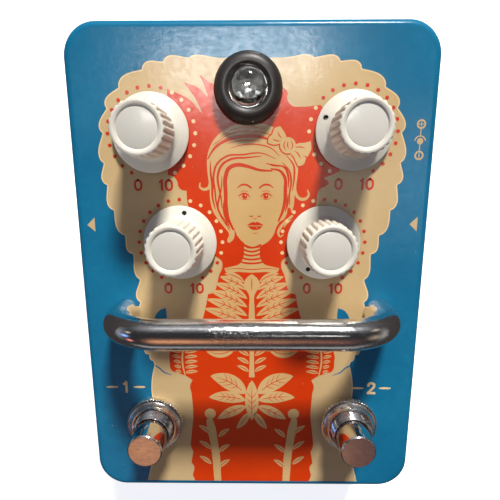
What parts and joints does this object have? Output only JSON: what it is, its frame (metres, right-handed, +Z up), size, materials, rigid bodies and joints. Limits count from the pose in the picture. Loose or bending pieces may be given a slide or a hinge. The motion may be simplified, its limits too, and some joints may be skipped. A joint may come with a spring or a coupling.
{
  "type": "guitar effects pedal",
  "caption": "Stomp-box guitar effects pedal: painted metal case with skirted control knobs, jewel lamp, stomp switches and a bent chrome guard bar.",
  "frame": {"origin": "on the floor plane under the middle of the enclosure", "axes": "+X to the player's right, +Y towards the lamp end, away from the player, +Z up out of the top face"},
  "size_m": [0.1088, 0.138, 0.0673],
  "materials": {
    "painted_shell": "glossy teal-blue powder paint with a printed cream and orange-red design under clear coat",
    "base_steel": "satin dark grey powder coat",
    "fastener_zinc": "zinc-plated, satin",
    "foot_rubber": "matt moulded rubber",
    "bar_chrome": "polished chrome with fine handling scratches",
    "knob_plastic": "warm white moulded plastic, semi-gloss",
    "insert_brass": "turned brass",
    "pot_metal": "pressed nickel-plated steel",
    "bezel_plastic": "black moulded plastic, glossy",
    "lens_clear": "clear cut jewel",
    "led_clear": "water-clear epoxy",
    "switch_case": "moulded switch case with a plated bushing",
    "switch_chrome": "bright chrome plate, lightly handled",
    "socket_plastic": "black moulded plastic",
    "board_green": "solder-masked glass-epoxy board",
    "chip_black": "moulded epoxy",
    "cable_grey": "flat insulated cable"
  },
  "bodies": {
    "chassis": {"enclosure": "painted_shell", "base_plate": "base_steel", "base_screw_1": "fastener_zinc", "base_screw_2": "fastener_zinc", "base_screw_3": "fastener_zinc", "base_screw_4": "fastener_zinc", "foot_1": "foot_rubber", "foot_2": "foot_rubber", "foot_3": "foot_rubber", "foot_4": "foot_rubber", "guard_bar": "bar_chrome", "guard_bar_screw_left": "fastener_zinc", "guard_bar_screw_right": "fastener_zinc", "guard_bar_washer_left": "fastener_zinc", "guard_bar_washer_right": "fastener_zinc", "volume_pot": "pot_metal", "volume_pot_nut": "fastener_zinc", "gain_pot": "pot_metal", "gain_pot_nut": "fastener_zinc", "eq_pot": "pot_metal", "eq_pot_nut": "fastener_zinc", "blend_pot": "pot_metal", "blend_pot_nut": "fastener_zinc", "lamp_bezel": "bezel_plastic", "lamp_lens": "lens_clear", "lamp_led": "led_clear", "lamp_nut": "fastener_zinc", "left_switch_body": "switch_case", "left_switch_dress_nut": "switch_chrome", "left_switch_inner_nut": "fastener_zinc", "left_switch_cable": "cable_grey", "right_switch_body": "switch_case", "right_switch_dress_nut": "switch_chrome", "right_switch_inner_nut": "fastener_zinc", "right_switch_cable": "cable_grey", "input_jack": "socket_plastic", "input_jack_washer": "switch_chrome", "input_jack_nut": "switch_chrome", "output_jack": "socket_plastic", "output_jack_washer": "switch_chrome", "output_jack_nut": "switch_chrome", "power_jack": "socket_plastic", "power_jack_nut": "socket_plastic", "circuit_board": "board_green", "chip_1": "chip_black", "chip_2": "chip_black"},
    "volume_control": {"volume_knob": "knob_plastic", "volume_knob_insert": "insert_brass", "volume_pot_shaft": "fastener_zinc"},
    "gain_control": {"gain_knob": "knob_plastic", "gain_knob_insert": "insert_brass", "gain_pot_shaft": "fastener_zinc"},
    "eq_control": {"eq_knob": "knob_plastic", "eq_knob_insert": "insert_brass", "eq_pot_shaft": "fastener_zinc"},
    "blend_control": {"blend_knob": "knob_plastic", "blend_knob_insert": "insert_brass", "blend_pot_shaft": "fastener_zinc"},
    "left_button": {"left_switch_plunger": "switch_chrome"},
    "right_button": {"right_switch_plunger": "switch_chrome"}
  },
  "joints": [
    {"name": "volume_turn", "type": "hinge", "parent": "chassis", "child": "volume_control", "pos_m": [-0.02735, 0.0409, 0.05], "axis": [0, 0, 1], "range_deg": [-210, 90]},
    {"name": "gain_turn", "type": "hinge", "parent": "chassis", "child": "gain_control", "pos_m": [0.0276, 0.0413, 0.05], "axis": [0, 0, 1], "range_deg": [-217, 83]},
    {"name": "eq_turn", "type": "hinge", "parent": "chassis", "child": "eq_control", "pos_m": [-0.0204, 0.0112, 0.05], "axis": [0, 0, 1], "range_deg": [-139, 161]},
    {"name": "blend_turn", "type": "hinge", "parent": "chassis", "child": "blend_control", "pos_m": [0.0204, 0.0112, 0.05], "axis": [0, 0, 1], "range_deg": [-300, 0]},
    {"name": "left_press", "type": "slide", "parent": "chassis", "child": "left_button", "axis": [0, 0, -1], "range_m": [0, 0.004], "stiffness_N_per_m": 1500, "springref_m": -0.001},
    {"name": "right_press", "type": "slide", "parent": "chassis", "child": "right_button", "axis": [0, 0, -1], "range_m": [0, 0.004], "stiffness_N_per_m": 1500, "springref_m": -0.001}
  ]
}
